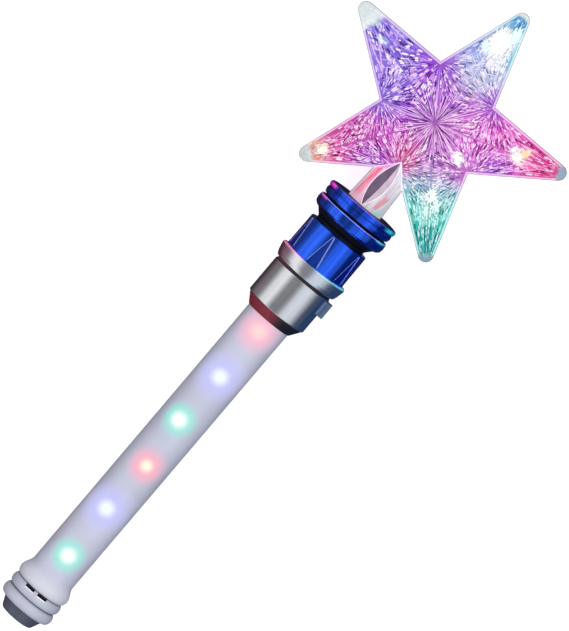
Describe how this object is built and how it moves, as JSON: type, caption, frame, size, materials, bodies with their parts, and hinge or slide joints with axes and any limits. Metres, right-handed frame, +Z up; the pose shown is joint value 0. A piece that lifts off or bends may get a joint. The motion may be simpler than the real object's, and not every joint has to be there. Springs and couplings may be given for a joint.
{
  "type": "toy magic wand",
  "caption": "Light-up star wand: frosted tube with coloured lights, pull-off tail cap with push button, plated collar with side button, clear ribbed star head.",
  "frame": {"origin": "centre of the bounding box's bottom face, on the surface the wand lies on", "axes": "+X along the wand from the tail button to the star's top point, +Z up out of the star's front face, +Y across the star"},
  "size_m": [0.3956, 0.1334, 0.043],
  "materials": {
    "frosted_tube": "frosted translucent plastic, smooth",
    "cap_plastic": "milky plastic, satin gloss",
    "button_plastic": "slate grey plastic, satin",
    "black_rubber": "soft black rubber with a red cast",
    "silver_plated": "metallised plastic, bright silver",
    "blue_plated": "metallised plastic, bright blue",
    "black_plastic": "moulded black plastic",
    "white_plastic": "moulded white plastic",
    "clear_plastic": "clear moulded plastic with fine ribs inside",
    "green_board": "circuit board",
    "white_board": "white circuit board",
    "steel": "bright steel",
    "wire": "insulated wire",
    "led_green": "lit light-emitting diode",
    "led_blue": "lit light-emitting diode",
    "led_red": "lit light-emitting diode",
    "led_white": "lit light-emitting diode"
  },
  "bodies": {
    "wand": {"diffuser_tube": "frosted_tube", "strip_carrier": "white_plastic", "led_strip": "white_board", "handle_leds_green": "led_green", "handle_leds_blue": "led_blue", "handle_leds_red": "led_red", "strip_resistors": "black_plastic", "strip_contacts": "steel", "strip_leads": "wire", "sleeve_gasket": "black_rubber", "ferrule_sleeve": "silver_plated", "groove_band": "black_plastic", "ferrule_ring": "silver_plated", "core_tube": "white_plastic", "collar_barrel": "blue_plated", "collar_crown": "blue_plated", "control_board": "green_board", "controller_chip": "black_plastic", "mode_switch": "black_plastic", "board_screws": "steel", "star_neck": "clear_plastic", "head_leads": "wire", "star_front_shell": "clear_plastic", "star_back_shell": "clear_plastic", "star_led_board": "white_board", "star_led_top": "led_white", "star_led_upper": "led_blue", "star_led_left": "led_red", "star_led_lower": "led_green", "star_led_right": "led_white", "star_led_hub_right": "led_white", "star_led_hub_neck": "led_red"},
    "tail_cap": {"end_cap": "cap_plastic", "cap_seal": "black_rubber", "switch_board": "green_board", "tail_switch": "black_plastic", "battery_holder": "black_plastic", "button_cells": "steel", "battery_spring": "steel", "battery_contact": "steel", "negative_clip": "steel", "holder_screws": "steel", "button_spring": "steel"},
    "tail_button": {"tail_button": "button_plastic", "tail_plunger": "white_plastic"},
    "mode_button": {"mode_button": "silver_plated", "mode_plunger": "white_plastic"}
  },
  "joints": [
    {"name": "cap_pull", "type": "slide", "parent": "wand", "child": "tail_cap", "axis": [-1, 0, 0], "range_m": [0, 0.045]},
    {"name": "tail_press", "type": "slide", "parent": "tail_cap", "child": "tail_button", "axis": [1, 0, 0], "range_m": [0, 0.0015], "stiffness_N_per_m": 900, "deforming": ["button_spring"]},
    {"name": "mode_press", "type": "slide", "parent": "wand", "child": "mode_button", "axis": [0, 1, 0], "range_m": [0, 0.0008], "stiffness_N_per_m": 900}
  ]
}
